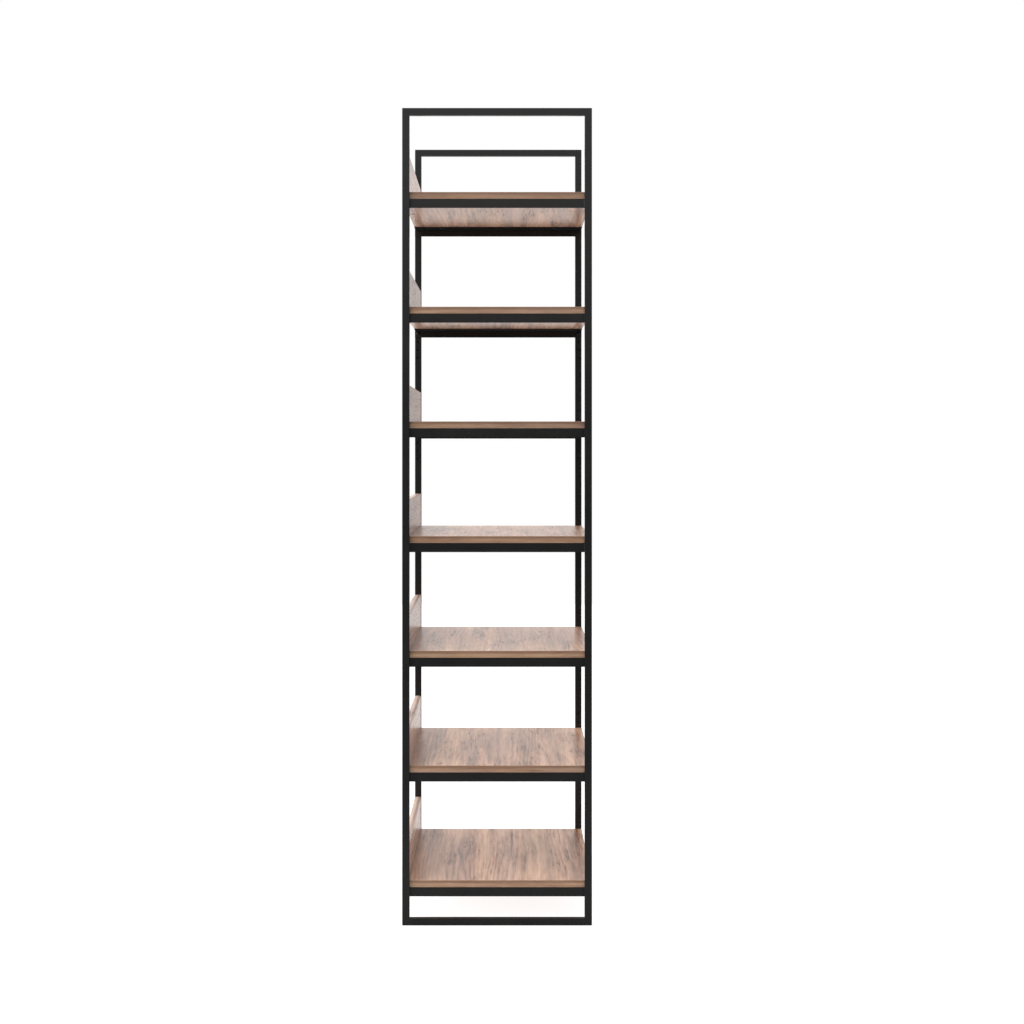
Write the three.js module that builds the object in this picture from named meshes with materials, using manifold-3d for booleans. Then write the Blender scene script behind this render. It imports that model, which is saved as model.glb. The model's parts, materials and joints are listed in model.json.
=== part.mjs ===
// Tall, narrow open bookcase. Two welded frames of flat steel bar, one in front and one
// behind, carry seven wooden shelves between them. Every shelf is a board on two steel
// angles, with a low wooden panel along its left side. Shelves 1, 4 and 7 are welded in
// place and tie the frames together. Shelves 2, 3, 5 and 6 are adjustable: four bolts per
// shelf pass through its angles into rows of blind holes in the uprights.
import * as THREE from 'three';
import { mergeVertices } from 'three/addons/utils/BufferGeometryUtils.js';
import Module from 'manifold-3d';

const wasm = await Module();
wasm.setup();

// Driving dimensions in millimetres. X is the width, Y runs from front to back, Z is up.
// The origin is on the floor, in the middle of the footprint.
const WIDTH = 418;
const DEPTH = 330;
const HEIGHT = 1800;
const GAP = 0.3; // clearance where two pieces touch

// Flat bar of the two frames.
const BAR_FACE = 16; // the side seen from the front
const BAR_DEPTH = 8;

// Shelves, numbered from the floor up.
const SHELF_COUNT = 7;
const LOWEST_BOARD_TOP = 96;
const SHELF_PITCH = 253.5;
const BOARD_THICKNESS = 15;
const PANEL_THICKNESS = 15;
const PANEL_HEIGHT = 80;
const ANGLE_LEG = 20; // equal-leg steel angle under the board
const ANGLE_WALL = 2;

// Adjustment: each adjustable shelf has a row of holes in each upright, centred on its
// bolts, so it can go up or down by whole steps of the hole pitch.
const ADJUSTABLE_SHELVES = [2, 3, 5, 6];
const HOLE_PITCH = 20;
const HOLES_EACH_WAY = 3;
const HOLE_RADIUS = 2.8;
const HOLE_DEPTH = 6.5;
const BOLT_BELOW_ANGLE_TOP = 11;

// M5 x 8 button-head bolt.
const BOLT_RADIUS = 2.5;
const BOLT_LENGTH = 8;
const BOLT_TIP_CHAMFER = 0.6;
const BOLT_HEAD_RADIUS = 4.75;
const BOLT_HEAD_HEIGHT = 2.75;
const BOLT_HEAD_RIM = 0.9;
const ROUND_SIDES = 8;

const STEEL = { color: 0x353433, roughness: 0.5, metalness: 0.6 };
const BOLT_STEEL = { color: 0x2a2928, roughness: 0.4, metalness: 0.8 };
const BOARD_WOOD = { color: 0xb89d8f, roughness: 0.65, metalness: 0 };
const PANEL_WOOD = { color: 0xc4ada0, roughness: 0.65, metalness: 0 };

// Derived places.
const UPRIGHT_X = WIDTH / 2 - BAR_FACE / 2;
const SHELF_FRONT = DEPTH / 2 - BAR_DEPTH - GAP; // half the depth of board and panel
const ANGLE_TOP = -BOARD_THICKNESS - GAP; // from the board's top surface
const BOLT_Z = ANGLE_TOP - BOLT_BELOW_ANGLE_TOP;

const SHELF_NUMBERS = Array.from({ length: SHELF_COUNT }, (_, i) => i + 1);
const boardTop = (number) => LOWEST_BOARD_TOP + (number - 1) * SHELF_PITCH;
const isAdjustable = (number) => ADJUSTABLE_SHELVES.includes(number);

// Turns a closed three.js geometry into a solid that can be cut.
function toSolid(geometry) {
  const bare = geometry.clone();
  bare.deleteAttribute('normal');
  bare.deleteAttribute('uv');
  const merged = mergeVertices(bare);
  return new wasm.Manifold(new wasm.Mesh({
    numProp: 3,
    vertProperties: new Float32Array(merged.attributes.position.array),
    triVerts: new Uint32Array(merged.index.array),
  }));
}

function toGeometry(solid) {
  const mesh = solid.getMesh();
  const geometry = new THREE.BufferGeometry();
  geometry.setAttribute('position', new THREE.BufferAttribute(mesh.vertProperties, 3));
  geometry.setIndex(new THREE.BufferAttribute(mesh.triVerts, 1));
  geometry.computeVertexNormals();
  return geometry;
}

// Cuts a cylinder along Y, at each of the places, out of a geometry.
function drill(geometry, places, length) {
  let solid = toSolid(geometry);
  for (const place of places) {
    const cutter = new THREE.CylinderGeometry(HOLE_RADIUS, HOLE_RADIUS, length, ROUND_SIDES);
    cutter.translate(place.x, place.y, place.z);
    solid = solid.subtract(toSolid(cutter));
  }
  return toGeometry(solid);
}

function namedMesh(name, geometry, finish) {
  const mesh = new THREE.Mesh(geometry, new THREE.MeshStandardMaterial(finish));
  mesh.name = name;
  return mesh;
}

// Extrudes an outline given in X and Z. The piece reaches from y = 0 back to y = depth.
function extrudeAlongY(outline, depth) {
  const shape = new THREE.Shape(outline.map(([x, z]) => new THREE.Vector2(x, z)));
  const geometry = new THREE.ExtrudeGeometry(shape, { depth, bevelEnabled: false });
  geometry.rotateX(Math.PI / 2);
  geometry.translate(0, depth, 0);
  return geometry;
}

// Extrudes an outline given in Y and Z. The piece is centred on x = 0.
function extrudeAlongX(outline, length) {
  const shape = new THREE.Shape(outline.map(([y, z]) => new THREE.Vector2(y, z)));
  const geometry = new THREE.ExtrudeGeometry(shape, { depth: length, bevelEnabled: false });
  geometry.applyMatrix4(new THREE.Matrix4().makeBasis(
    new THREE.Vector3(0, 1, 0),
    new THREE.Vector3(0, 0, 1),
    new THREE.Vector3(1, 0, 0),
  ));
  geometry.translate(-length / 2, 0, 0);
  return geometry;
}

// Heights of all the bolt holes in one upright.
function holeHeights() {
  const heights = [];
  for (const number of ADJUSTABLE_SHELVES) {
    for (let step = -HOLES_EACH_WAY; step <= HOLES_EACH_WAY; step += 1) {
      heights.push(boardTop(number) + BOLT_Z + step * HOLE_PITCH);
    }
  }
  return heights;
}

// The upright at -X, with mitred ends. Its long edge is at x = -BAR_FACE / 2, its outer
// face at y = 0, and the blind holes open on its inner face.
function uprightGeometry() {
  const half = BAR_FACE / 2;
  const bar = extrudeAlongY([
    [-half, 0],
    [half, BAR_FACE],
    [half, HEIGHT - BAR_FACE],
    [-half, HEIGHT],
  ], BAR_DEPTH);
  const places = holeHeights().map((z) => ({ x: 0, y: BAR_DEPTH, z }));
  return drill(bar, places, 2 * HOLE_DEPTH);
}

// The top or bottom rail of a frame, with mitred ends that stop short of the uprights by
// the gap. Its long edge is at z = 0.
function crossRailGeometry() {
  const half = WIDTH / 2 - GAP * Math.SQRT2;
  return extrudeAlongY([
    [-half, 0],
    [half, 0],
    [half - BAR_FACE, BAR_FACE],
    [BAR_FACE - half, BAR_FACE],
  ], BAR_DEPTH);
}

// Mirrors a geometry in x = 0 and keeps its faces pointing out.
function mirroredInX(geometry) {
  const mirrored = geometry.clone();
  mirrored.scale(-1, 1, 1);
  const index = mirrored.index.array;
  for (let i = 0; i < index.length; i += 3) {
    [index[i + 1], index[i + 2]] = [index[i + 2], index[i + 1]];
  }
  mirrored.computeVertexNormals();
  return mirrored;
}

// One frame, made facing the front. sides names its uprights at -X and at +X.
function weldedFrame(where, sides) {
  const frame = new THREE.Group();
  sides.forEach((side, i) => {
    const atRight = i === 1;
    const bar = atRight ? mirroredInX(uprightGeometry()) : uprightGeometry();
    const upright = namedMesh(`${where}_${side}_upright`, bar, STEEL);
    upright.position.set(atRight ? UPRIGHT_X : -UPRIGHT_X, -DEPTH / 2, 0);
    frame.add(upright);
  });

  const bottom = namedMesh(`${where}_bottom_rail`, crossRailGeometry(), STEEL);
  bottom.position.set(0, -DEPTH / 2, 0);
  frame.add(bottom);

  const top = namedMesh(`${where}_top_rail`, crossRailGeometry(), STEEL);
  top.rotation.y = Math.PI;
  top.position.set(0, -DEPTH / 2, HEIGHT);
  frame.add(top);
  return frame;
}

function boardGeometry() {
  const geometry = new THREE.BoxGeometry(WIDTH, 2 * SHELF_FRONT, BOARD_THICKNESS);
  geometry.translate(0, 0, -BOARD_THICKNESS / 2);
  return geometry;
}

function panelGeometry() {
  const geometry = new THREE.BoxGeometry(PANEL_THICKNESS, 2 * SHELF_FRONT, PANEL_HEIGHT);
  geometry.translate(0, 0, GAP + PANEL_HEIGHT / 2);
  return geometry;
}

// The angle under the front edge of a board. Its upright leg faces the frame and its
// level leg carries the board. On an adjustable shelf the upright leg has two bolt holes.
function angleGeometry(drilled) {
  const geometry = extrudeAlongX([
    [0, 0],
    [0, -ANGLE_LEG],
    [ANGLE_WALL, -ANGLE_LEG],
    [ANGLE_WALL, -ANGLE_WALL],
    [ANGLE_LEG, -ANGLE_WALL],
    [ANGLE_LEG, 0],
  ], WIDTH);
  if (!drilled) {
    return geometry;
  }
  const places = [-1, 1].map((sign) => (
    { x: sign * UPRIGHT_X, y: 0, z: -BOLT_BELOW_ANGLE_TOP }
  ));
  return drill(geometry, places, ANGLE_LEG);
}

// A button-head bolt along Y. Its head's seat is at y = 0 and its tip points to -Y.
function boltGeometry() {
  const profile = [
    [0, -BOLT_LENGTH],
    [BOLT_RADIUS - BOLT_TIP_CHAMFER, -BOLT_LENGTH],
    [BOLT_RADIUS, BOLT_TIP_CHAMFER - BOLT_LENGTH],
    [BOLT_RADIUS, 0],
    [BOLT_HEAD_RADIUS, 0],
    [BOLT_HEAD_RADIUS, BOLT_HEAD_RIM],
    [BOLT_HEAD_RADIUS / 2, BOLT_HEAD_HEIGHT],
    [0, BOLT_HEAD_HEIGHT],
  ];
  const points = profile.map(([radius, y]) => new THREE.Vector2(radius, y));
  return new THREE.LatheGeometry(points, ROUND_SIDES);
}

// The angle and, on an adjustable shelf, the two bolts at one end of a shelf's depth.
// sides names the bolts at -X and at +X.
function shelfEnd(number, where, sides) {
  const end = new THREE.Group();
  const adjustable = isAdjustable(number);
  const angle = namedMesh(`shelf_${number}_${where}_angle`, angleGeometry(adjustable), STEEL);
  angle.position.set(0, -SHELF_FRONT, ANGLE_TOP);
  end.add(angle);
  if (adjustable) {
    sides.forEach((side, i) => {
      const name = `shelf_${number}_${where}_${side}_bolt`;
      const bolt = namedMesh(name, boltGeometry(), BOLT_STEEL);
      const sign = i === 0 ? -1 : 1;
      bolt.position.set(sign * UPRIGHT_X, ANGLE_WALL + GAP - SHELF_FRONT, BOLT_Z);
      end.add(bolt);
    });
  }
  return end;
}

// A shelf, with the board's top surface at z = 0.
function shelf(number) {
  const group = new THREE.Group();
  group.add(namedMesh(`shelf_${number}_board`, boardGeometry(), BOARD_WOOD));

  const panel = namedMesh(`shelf_${number}_side_panel`, panelGeometry(), PANEL_WOOD);
  panel.position.x = PANEL_THICKNESS / 2 - WIDTH / 2;
  group.add(panel);

  group.add(shelfEnd(number, 'front', ['left', 'right']));
  const rear = shelfEnd(number, 'rear', ['right', 'left']);
  rear.rotation.z = Math.PI;
  group.add(rear);
  return group;
}

const bookcase = new THREE.Group();
bookcase.add(weldedFrame('front', ['left', 'right']));
const rearFrame = weldedFrame('rear', ['right', 'left']);
rearFrame.rotation.z = Math.PI;
bookcase.add(rearFrame);
for (const number of SHELF_NUMBERS) {
  const placed = shelf(number);
  placed.position.z = boardTop(number);
  bookcase.add(placed);
}

export default bookcase;
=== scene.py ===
import json
import math
import random

import bmesh
import bpy
from mathutils import Matrix, Vector

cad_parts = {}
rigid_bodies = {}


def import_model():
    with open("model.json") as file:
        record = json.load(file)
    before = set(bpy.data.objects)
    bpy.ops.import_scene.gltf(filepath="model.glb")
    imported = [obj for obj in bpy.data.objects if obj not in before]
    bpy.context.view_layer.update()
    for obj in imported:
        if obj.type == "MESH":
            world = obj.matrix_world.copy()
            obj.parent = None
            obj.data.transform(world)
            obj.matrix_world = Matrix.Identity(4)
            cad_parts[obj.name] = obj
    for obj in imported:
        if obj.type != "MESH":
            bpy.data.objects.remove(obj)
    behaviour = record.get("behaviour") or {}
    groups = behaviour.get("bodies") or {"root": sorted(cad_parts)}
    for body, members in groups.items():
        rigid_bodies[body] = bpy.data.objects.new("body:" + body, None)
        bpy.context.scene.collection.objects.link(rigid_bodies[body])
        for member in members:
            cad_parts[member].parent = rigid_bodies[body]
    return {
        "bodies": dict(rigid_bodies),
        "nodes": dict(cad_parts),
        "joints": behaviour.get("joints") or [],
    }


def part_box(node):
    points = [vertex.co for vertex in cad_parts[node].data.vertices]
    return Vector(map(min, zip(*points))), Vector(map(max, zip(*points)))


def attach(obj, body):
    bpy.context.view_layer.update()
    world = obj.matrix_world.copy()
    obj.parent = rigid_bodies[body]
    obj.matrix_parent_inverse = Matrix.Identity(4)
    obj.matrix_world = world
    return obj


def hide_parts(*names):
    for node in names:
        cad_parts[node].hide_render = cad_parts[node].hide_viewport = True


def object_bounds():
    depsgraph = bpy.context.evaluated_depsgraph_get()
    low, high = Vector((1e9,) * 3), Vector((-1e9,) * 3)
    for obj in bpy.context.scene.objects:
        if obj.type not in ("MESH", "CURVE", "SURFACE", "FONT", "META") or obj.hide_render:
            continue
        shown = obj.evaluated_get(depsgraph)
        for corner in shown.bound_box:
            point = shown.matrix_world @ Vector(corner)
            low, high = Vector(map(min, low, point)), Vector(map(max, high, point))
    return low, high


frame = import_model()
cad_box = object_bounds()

# The looks of a tall bookcase: two black powder-coated frames of flat bar with seven
# laminated boards between them. Everything is in metres, in the CAD model's frame: X is
# the width, Y runs from front to back, Z is up.
MM = 0.001

# Wood: a faced core with glued edge banding.
BAND = 1.0 * MM
BAND_ROUND = 0.5 * MM
CORE_ROUND = 0.12 * MM
GLUE_LINE = 0.06 * MM
# Through a core's thickness the pattern changes this fast, so that its two faces differ.
SHEETS_PER_METRE = 8

# Steel: rounded long edges, the root and toes of the angle, and weld beads. A seam is the
# weld ground flush in a mitre, and a fillet is the bead in a corner.
BAR_ROUND = 0.5 * MM
ANGLE_ROOT = 2.0 * MM
ANGLE_TOE = 0.9 * MM
ANGLE_HEEL = 0.4 * MM
ANGLE_END_ROUND = 0.2 * MM
SEAM_RADIUS = 0.75 * MM
SEAM_INSET = SEAM_RADIUS * 1.08
SEAM_STEP = 0.9 * MM
FILLET_RADIUS = 1.9 * MM
UNDER_FILLET_RADIUS = FILLET_RADIUS * 0.85
FILLET_STEP = 0.45 * MM
FILLET_FOOT_GAP = 1.0 * MM
FILLET_END_GAP = 1.5 * MM
BEAD_SIDES = 10
RINGS_PER_RIPPLE = 3
RIPPLE_DROP = 0.035
CREST_SPREAD = 0.02
END_TAPER = 0.7
TAPER_RATE = 1.1

# Holes and fasteners.
HOLE_PITCH = 20 * MM
HOLE_RADIUS = 2.8 * MM
HOLE_MOUTH = 3.3 * MM
HOLE_DEPTH = 6.5 * MM
HOLE_TIP = 0.8 * MM
HOLE_CHAMFER_DEPTH = 0.5 * MM
ANGLE_HOLE_RADIUS = 2.8 * MM
ROUND_SIDES = 24

# M5 bolt: the head's profile is given as parts of its radius and heights over its seat.
BOLT_RADIUS = 2.5 * MM
BOLT_ROOT_RADIUS = 2.2 * MM
BOLT_TIP_RADIUS = 1.7 * MM
BOLT_PITCH = 0.8 * MM
BOLT_LEAD = 0.5 * MM
BOLT_PLAIN_LENGTH = 0.6 * MM
BOLT_HEAD_RADIUS = 4.75 * MM
BOLT_HEAD_HEIGHT = 2.75 * MM
BOLT_HEAD_CHAMFER = 0.2 * MM
BOLT_HEAD_PROFILE = (
    (1.0, 0.25 * MM), (1.0, 0.75 * MM), (0.93, 1.35 * MM), (0.80, 1.95 * MM),
    (0.62, 2.45 * MM), (0.50, 2.70 * MM), (0.45, BOLT_HEAD_HEIGHT),
)
HEX_ACROSS_FLATS = 3.0 * MM
HEX_MOUTH = 0.3 * MM
HEX_CHAMFER = 0.2 * MM
HEX_FLOOR = 0.9 * MM
HEX_TIP = 0.6 * MM

# Wood screws and plastic caps: profiles as parts of the radius and heights below z = 0.
SCREW_HEAD_RADIUS = 3.8 * MM
SCREW_HEAD_HEIGHT = 2.3 * MM
SCREW_HEAD_PROFILE = (
    (1.0, 0.0), (1.0, -0.5 * MM), (0.95, -1.2 * MM), (0.80, -1.85 * MM), (0.60, -SCREW_HEAD_HEIGHT),
)
SCREW_NECK_RADIUS = 2.0 * MM
SCREW_NECK_LENGTH = 2.0 * MM
CROSS_ARM = 1.7 * MM
CROSS_HALF_WIDTH = 0.42 * MM
CROSS_DEPTH = 1.3 * MM
BOARD_SCREW_X = (-0.140, 0.0, 0.140)
BOARD_SCREW_INSET = 11 * MM
CAP_RADIUS = 5.5 * MM
CAP_HEIGHT = 1.08 * MM
CAP_PROFILE = ((1.0, -0.25 * MM), (0.94, -0.55 * MM), (0.78, -0.85 * MM), (0.50, -1.02 * MM))
CAP_SIDES = 32
PANEL_SCREW_Y = (-0.110, 0.0, 0.110)

# Studio. The floor's glow is added to the light that it gets, and glossy rays see less of
# it: much less in front of the object than behind. The world's strength is a level with a
# slope in X, to which the left and the high parts add. Below the horizon it is multiplied,
# and at eye level in front most of it is lost.
FLOOR_RADIUS = 2.8
FLOOR_BEHIND = 1.8
FLOOR_THICKNESS = 0.02
FLOOR_SIDES = 96
FLOOR_GLOW = 0.82
GLOSSY_LOSS_IN_FRONT = -0.78
GLOSSY_LOSS_BEHIND = -0.10
WORLD_LEVEL = 0.90
WORLD_SLOPE_IN_X = -0.46
WORLD_LEFT = 1.40
WORLD_HIGH_BEHIND = 0.44
WORLD_HIGH_FRONT = 0.45
WORLD_BELOW = 1.60
WORLD_EYE_LEVEL_LOSS = 0.88
CAMERA_SENSOR_MM = 36.0
CAMERA_LENS_MM = 36.67
CAMERA_SHIFT = (0.0051, -0.0628)
CAMERA_X = 0.0214
CAMERA_HEIGHT = 1.052
CAMERA_DISTANCE = 2.296
CAMERA_REACH = 200.0

X_AXIS, Y_AXIS, Z_AXIS = range(3)

SIDES = ("left", "right")
ENDS = ("front", "rear")
BOARDS = [name for name in frame["nodes"] if name.endswith("_board")]
SHELF_NUMBERS = sorted(int(name.split("_")[1]) for name in BOARDS)
ADJUSTABLE = [n for n in SHELF_NUMBERS if f"shelf_{n}" in frame["bodies"]]
FIXED = [n for n in SHELF_NUMBERS if n not in ADJUSTABLE]


def body_of(number):
    return f"shelf_{number}" if number in ADJUSTABLE else "frame"


# ---------------------------------------------------------------- shader node helpers

def new_material(name):
    material = bpy.data.materials.new(name)
    material.use_nodes = True
    tree = material.node_tree
    tree.nodes.clear()
    shader = tree.nodes.new("ShaderNodeBsdfPrincipled")
    output = tree.nodes.new("ShaderNodeOutputMaterial")
    tree.links.new(shader.outputs["BSDF"], output.inputs["Surface"])
    return material, tree, shader


def connect(tree, value, socket):
    if isinstance(value, bpy.types.NodeSocket):
        tree.links.new(value, socket)
    else:
        socket.default_value = value


def calc(tree, operation, *values, clamp=False):
    made = tree.nodes.new("ShaderNodeMath")
    made.operation = operation
    made.use_clamp = clamp
    for value, socket in zip(values, made.inputs):
        connect(tree, value, socket)
    return made.outputs[0]


def combine(tree, x, y, z):
    made = tree.nodes.new("ShaderNodeCombineXYZ")
    for value, socket in zip((x, y, z), made.inputs):
        connect(tree, value, socket)
    return made.outputs[0]


def noise(tree, vector, scale=1.0, detail=2.0, roughness=0.5):
    made = tree.nodes.new("ShaderNodeTexNoise")
    connect(tree, vector, made.inputs["Vector"])
    made.inputs["Scale"].default_value = scale
    made.inputs["Detail"].default_value = detail
    made.inputs["Roughness"].default_value = roughness
    return made.outputs[0]


def ease(tree, value, low, high, to_low=0.0, to_high=1.0):
    made = tree.nodes.new("ShaderNodeMapRange")
    made.interpolation_type = "SMOOTHSTEP"
    settings = {
        "Value": value, "From Min": low, "From Max": high, "To Min": to_low, "To Max": to_high,
    }
    for name, setting in settings.items():
        connect(tree, setting, made.inputs[name])
    return made.outputs["Result"]


def ramp(tree, value, stops):
    made = tree.nodes.new("ShaderNodeValToRGB")
    elements = made.color_ramp.elements
    while len(elements) < len(stops):
        elements.new(0.5)
    for element, (place, colour) in zip(elements, stops):
        element.position = place
        element.color = (*colour, 1.0)
    connect(tree, value, made.inputs["Fac"])
    return made.outputs["Color"]


def blend_colour(tree, amount, first, second):
    made = tree.nodes.new("ShaderNodeMix")
    made.data_type = "RGBA"
    connect(tree, amount, made.inputs["Factor"])
    colours = [socket for socket in made.inputs if socket.type == "RGBA"]
    for colour, socket in zip((first, second), colours):
        connect(tree, colour if isinstance(colour, bpy.types.NodeSocket) else (*colour, 1.0), socket)
    return [socket for socket in made.outputs if socket.type == "RGBA"][0]


def bump(tree, height, distance, strength):
    made = tree.nodes.new("ShaderNodeBump")
    made.inputs["Distance"].default_value = distance
    made.inputs["Strength"].default_value = strength
    connect(tree, height, made.inputs["Height"])
    return made.outputs["Normal"]


def attribute(tree, name):
    made = tree.nodes.new("ShaderNodeAttribute")
    made.attribute_name = name
    return made


# ---------------------------------------------------------------- materials

def knot_field(tree, across, along, sheet):
    """Scattered knots. Returns how far the grain is pushed aside in metres, the darkened
    wood round each knot, and its heart, both 0 to 1."""
    cell_across, cell_along = 0.15, 0.34
    sheet_across, sheet_along = 31.7, 17.3
    space = combine(
        tree,
        calc(
            tree, "ADD",
            calc(tree, "DIVIDE", across, cell_across), calc(tree, "MULTIPLY", sheet, sheet_across),
        ),
        calc(
            tree, "ADD",
            calc(tree, "DIVIDE", along, cell_along), calc(tree, "MULTIPLY", sheet, sheet_along),
        ),
        0.0,
    )
    cells = tree.nodes.new("ShaderNodeTexVoronoi")
    cells.voronoi_dimensions = "2D"
    cells.inputs["Scale"].default_value = 1.0
    tree.links.new(space, cells.inputs["Vector"])
    here = tree.nodes.new("ShaderNodeSeparateXYZ")
    there = tree.nodes.new("ShaderNodeSeparateXYZ")
    tree.links.new(space, here.inputs[0])
    tree.links.new(cells.outputs["Position"], there.inputs[0])
    chance = tree.nodes.new("ShaderNodeSeparateColor")
    tree.links.new(cells.outputs["Color"], chance.inputs[0])
    cells_across = calc(tree, "SUBTRACT", here.outputs[0], there.outputs[0])
    cells_along = calc(tree, "SUBTRACT", here.outputs[1], there.outputs[1])
    off_across = calc(tree, "MULTIPLY", cells_across, cell_across)
    off_along = calc(tree, "MULTIPLY", cells_along, cell_along)

    def reach(across_radius, along_radius):
        u = calc(tree, "DIVIDE", off_across, across_radius)
        v = calc(tree, "DIVIDE", off_along, along_radius)
        squared = calc(tree, "ADD", calc(tree, "MULTIPLY", u, u), calc(tree, "MULTIPLY", v, v))
        return calc(tree, "POWER", 2.718, calc(tree, "MULTIPLY", squared, -1.0))

    present = calc(tree, "GREATER_THAN", chance.outputs[0], 0.35)
    push = calc(tree, "MULTIPLY", calc(tree, "MULTIPLY", off_across, reach(0.016, 0.045)), present)
    around = calc(tree, "MULTIPLY", reach(0.013, 0.024), present)
    heart = calc(tree, "MULTIPLY", ease(tree, reach(0.0045, 0.0075), 0.25, 0.7), present)
    return push, around, heart


def wood_material(name, dark, middle, light, contrast=1.0, roughness=0.4, painted_shade_top=0.0):
    """Rustic pine print. The mesh's grain attribute holds wood coordinates in metres: x is
    across the grain, y along it and z picks the sheet that it was cut from. painted_shade_top
    gives edge banding painted shade, darkening it where the mesh's rise attribute is above about 0.6."""
    material, tree, shader = new_material(name)
    split = tree.nodes.new("ShaderNodeSeparateXYZ")
    tree.links.new(attribute(tree, "grain").outputs["Vector"], split.inputs[0])
    across, along, sheet = split.outputs

    push, around, heart = knot_field(tree, across, along, sheet)

    def stretched(value, across_scale, along_scale, detail, rough=0.55, seed=0.0):
        space = combine(
            tree,
            calc(tree, "MULTIPLY", value, across_scale),
            calc(tree, "MULTIPLY", along, along_scale),
            calc(tree, "MULTIPLY_ADD", sheet, 5.0, seed),
        )
        return noise(tree, space, detail=detail, roughness=rough)

    # Slow waves and the knots bend the grain.
    sway = calc(tree, "SUBTRACT", stretched(across, 9.0, 3.5, 3.0), 0.5)
    bent = calc(tree, "SUBTRACT", calc(tree, "MULTIPLY_ADD", sway, 0.022, across), push)

    # Growth rings: each darkens slowly and ends in a thin line. The noise term closes some
    # of them into long arches.
    arches = stretched(bent, 7.0, 0.9, 1.0, seed=11.0)
    count = calc(tree, "MULTIPLY_ADD", arches, 16.0, calc(tree, "MULTIPLY", bent, 70.0))
    ring_part = calc(tree, "FRACT", count)
    late = calc(
        tree, "MULTIPLY",
        ease(tree, ring_part, 0.35, 0.93),
        ease(tree, ring_part, 0.93, 1.0, 1.0, 0.0),
    )
    faded = ease(tree, stretched(bent, 16.0, 2.2, 2.0, seed=23.0), 0.36, 0.62)
    late = calc(tree, "MULTIPLY", late, faded)

    broad = calc(tree, "SUBTRACT", stretched(bent, 24.0, 1.4, 2.0), 0.5)
    streaks = calc(tree, "SUBTRACT", stretched(bent, 130.0, 4.0, 3.0, seed=3.0), 0.5)
    fibres = calc(tree, "SUBTRACT", stretched(bent, 650.0, 14.0, 3.0, 0.65), 0.5)
    flecks = calc(tree, "SUBTRACT", stretched(bent, 210.0, 26.0, 3.0, 0.6, seed=7.0), 0.5)

    # Cracks and pores crowd together where the wood is bruised.
    bruised = ease(tree, stretched(bent, 24.0, 7.0, 4.0, 0.6, seed=31.0), 0.46, 0.66)
    cracks = ease(tree, stretched(bent, 330.0, 24.0, 2.0, 0.5, seed=37.0), 0.54, 0.66)
    cracks = calc(tree, "MULTIPLY", cracks, calc(tree, "MULTIPLY_ADD", bruised, 0.85, 0.15))
    pores = ease(tree, stretched(bent, 900.0, 40.0, 2.0, 0.6, seed=41.0), 0.60, 0.70)
    saw_space = combine(
        tree, calc(tree, "MULTIPLY", across, 14.0), calc(tree, "MULTIPLY", along, 300.0), sheet
    )
    saw = calc(tree, "SUBTRACT", noise(tree, saw_space, detail=2.0), 0.5)

    tone = calc(tree, "MULTIPLY_ADD", broad, 0.95 * contrast, 0.60)
    for part, weight in (
        (streaks, 0.75 * contrast),
        (fibres, 0.45 * contrast),
        (flecks, 0.60 * contrast),
        (late, -0.20 * contrast),
        (bruised, -0.16 * contrast),
        (cracks, -0.34 * contrast),
        (pores, -0.12),
        (saw, 0.10),
        (around, -0.10),
        (heart, -0.45),
    ):
        tone = calc(tree, "MULTIPLY_ADD", part, weight, tone)
    tone = calc(tree, "ADD", tone, 0.0, clamp=True)
    colour = ramp(tree, tone, ((0.0, dark), (0.5, middle), (1.0, light)))

    # Some streaks are greyer than others, others more golden.
    level = sum(middle) / 3
    tint = stretched(bent, 15.0, 1.8, 2.0, seed=53.0)
    greyer = (level * 1.22, level * 0.88, level * 0.77)
    more_golden = (level * 1.62, level * 1.12, level * 0.72)
    colour = blend_colour(tree, ease(tree, tint, 0.46, 0.66, 0.0, 0.32), colour, greyer)
    colour = blend_colour(tree, ease(tree, tint, 0.52, 0.34, 0.0, 0.30), colour, more_golden)
    # Painted shade: edge banding is darkened near the top of its rise. That is the upper part of a
    # board's edge, and the inner side of a panel's top.
    if painted_shade_top:
        rise = attribute(tree, "rise").outputs["Fac"]
        wandering = calc(tree, "ADD", rise, calc(tree, "MULTIPLY", broad, 0.20))
        shaded = calc(tree, "MULTIPLY", ease(tree, wandering, 0.52, 0.70), painted_shade_top)
        colour = blend_colour(tree, shaded, colour, dark)

    # The arrises have lost a little colour.
    worn = calc(
        tree, "MULTIPLY",
        attribute(tree, "edge_wear").outputs["Fac"],
        ease(tree, stretched(across, 60.0, 60.0, 3.0), 0.35, 0.6, 0.45, 1.0),
    )
    colour = blend_colour(tree, calc(tree, "MULTIPLY", worn, 0.40), colour, light)
    tree.links.new(colour, shader.inputs["Base Color"])
    rough = calc(tree, "MULTIPLY_ADD", streaks, 0.10, roughness)
    rough = calc(tree, "MULTIPLY_ADD", cracks, 0.10, rough)
    tree.links.new(rough, shader.inputs["Roughness"])
    height = calc(tree, "MULTIPLY_ADD", pores, -0.5, calc(tree, "MULTIPLY", fibres, 0.6))
    height = calc(tree, "MULTIPLY_ADD", cracks, -1.0, height)
    height = calc(tree, "MULTIPLY_ADD", late, -0.2, height)
    tree.links.new(bump(tree, height, 0.10 * MM, 0.6), shader.inputs["Normal"])
    return material


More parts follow.
